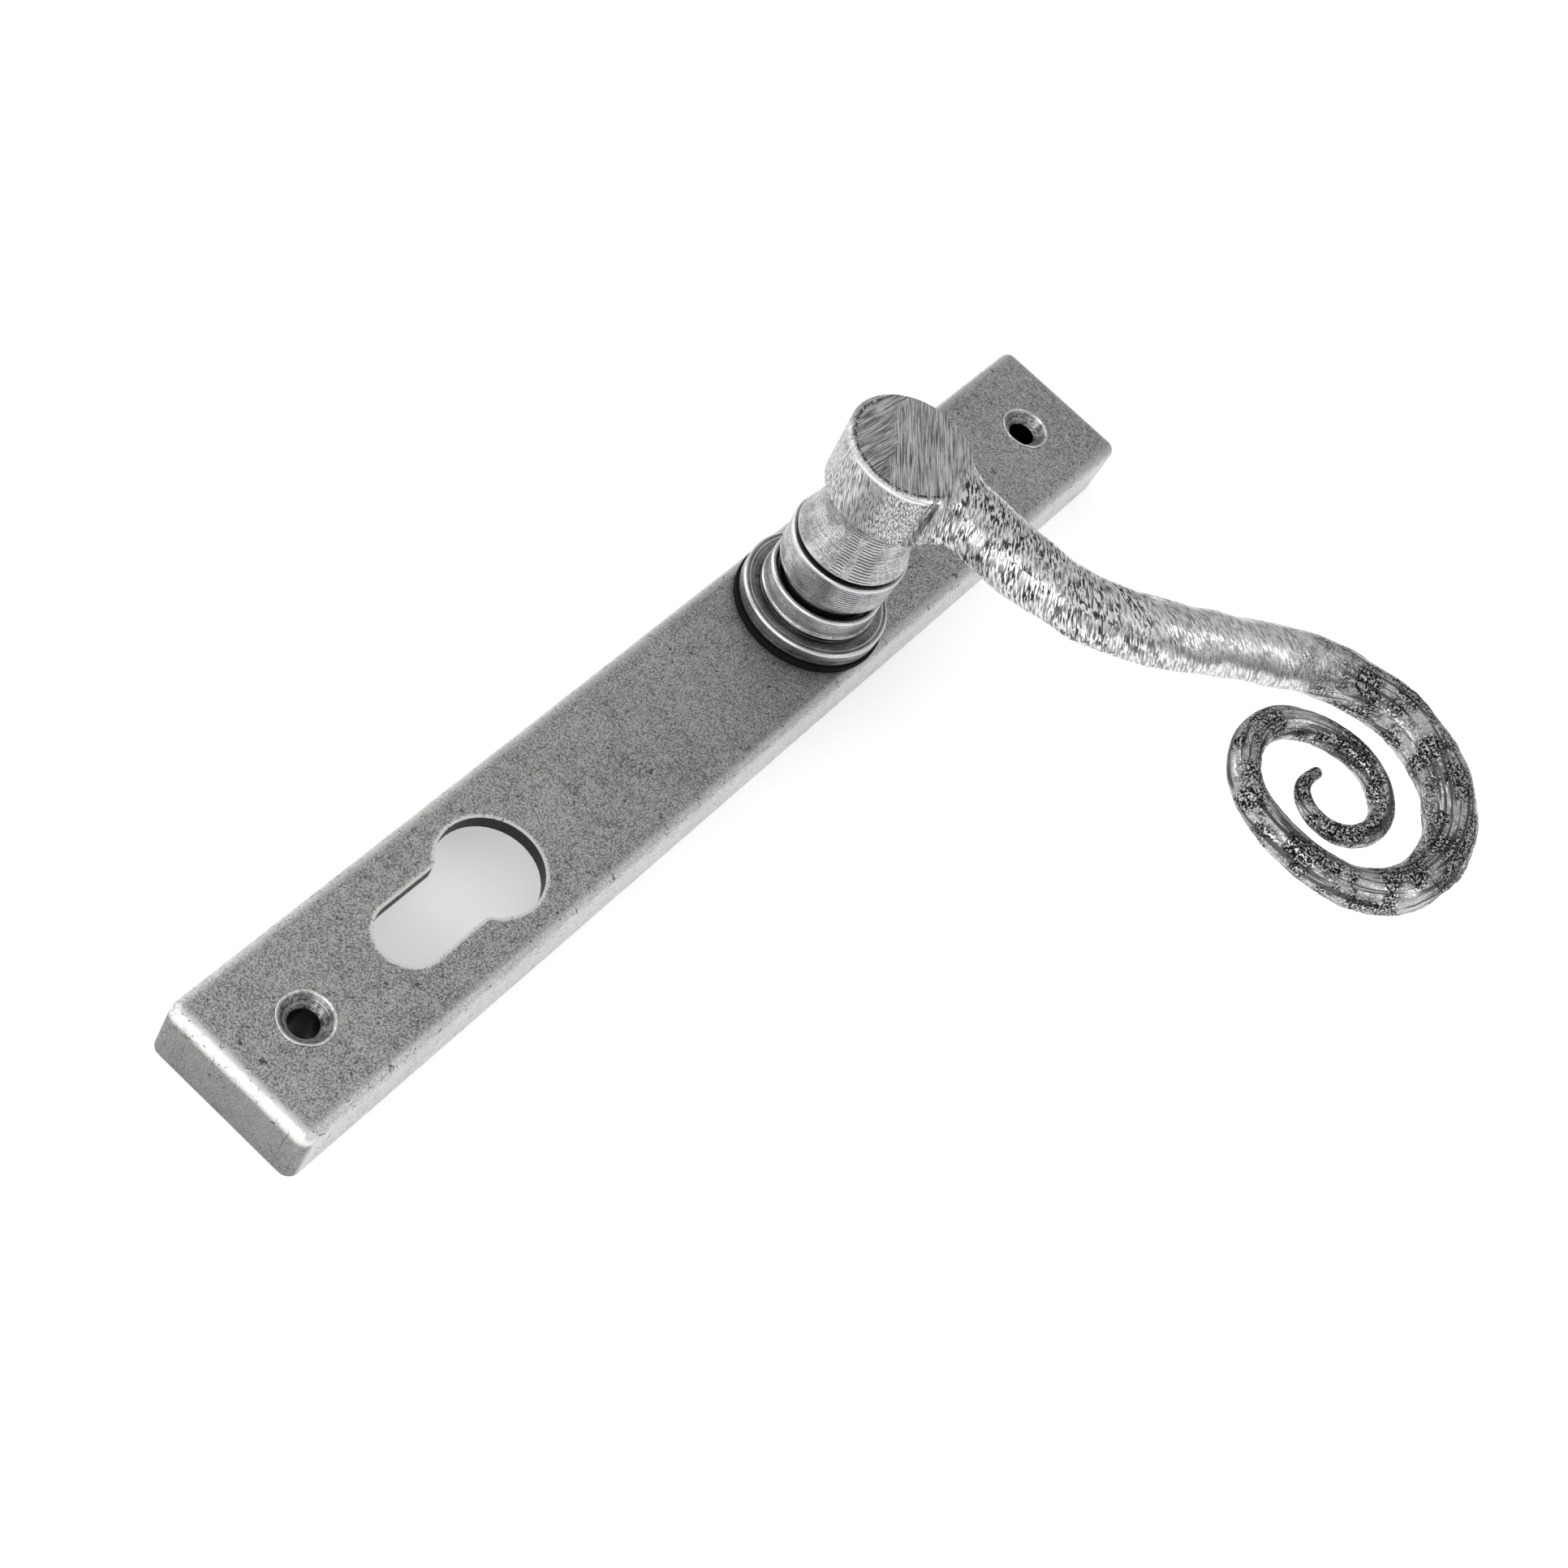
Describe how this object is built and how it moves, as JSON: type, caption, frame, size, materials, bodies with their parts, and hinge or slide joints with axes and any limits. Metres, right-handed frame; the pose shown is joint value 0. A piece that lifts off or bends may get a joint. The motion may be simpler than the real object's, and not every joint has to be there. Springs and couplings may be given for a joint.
{
  "type": "sprung lever handle on backplate",
  "caption": "Hand-forged monkeytail lever with a return spring, on a long slim hollow backplate with a keyhole cut-out for a lock cylinder.",
  "frame": {"origin": "the spindle axis on the backplate's back face", "axes": "+Z out of the door along the spindle axis, +Y up the plate away from the cylinder cut-out, +X the way the lever points at rest"},
  "size_m": [0.1356, 0.246, 0.0614],
  "materials": {
    "plate_steel": "mottled pewter patina, worn bright along the edges",
    "forged_steel": "hand-forged and filed, dark in the hollows, polished on the ridges",
    "turned_steel": "turned countersink with fine machining rings",
    "collar_steel": "turned and darkened, bright on the edges",
    "black_nylon": "matt moulded",
    "zinc_steel": "zinc plated",
    "spring_steel": "oiled spring steel"
  },
  "bodies": {
    "plate": {"backplate": "plate_steel", "upper_screw_pillar": "turned_steel", "lower_screw_pillar": "turned_steel", "plate_washer": "black_nylon", "bearing_collar": "collar_steel", "nylon_bush": "black_nylon", "cassette_bracket": "zinc_steel", "spring_post": "zinc_steel", "cover_post": "zinc_steel", "spring_cover": "zinc_steel", "cover_screws": "zinc_steel", "left_stop_pin": "zinc_steel", "right_stop_pin": "zinc_steel", "return_spring": "spring_steel"},
    "handle": {"lever": "forged_steel", "neck_band": "collar_steel", "drive_hub": "zinc_steel", "thrust_washer": "spring_steel", "circlip": "spring_steel"}
  },
  "joints": [
    {"name": "lever_turn", "type": "hinge", "parent": "plate", "child": "handle", "pos_m": [0, 0, 0], "axis": [0, 0, 1], "range_deg": [-45, 45], "stiffness_Nm_per_rad": 1.9, "deforming": ["return_spring"]}
  ]
}
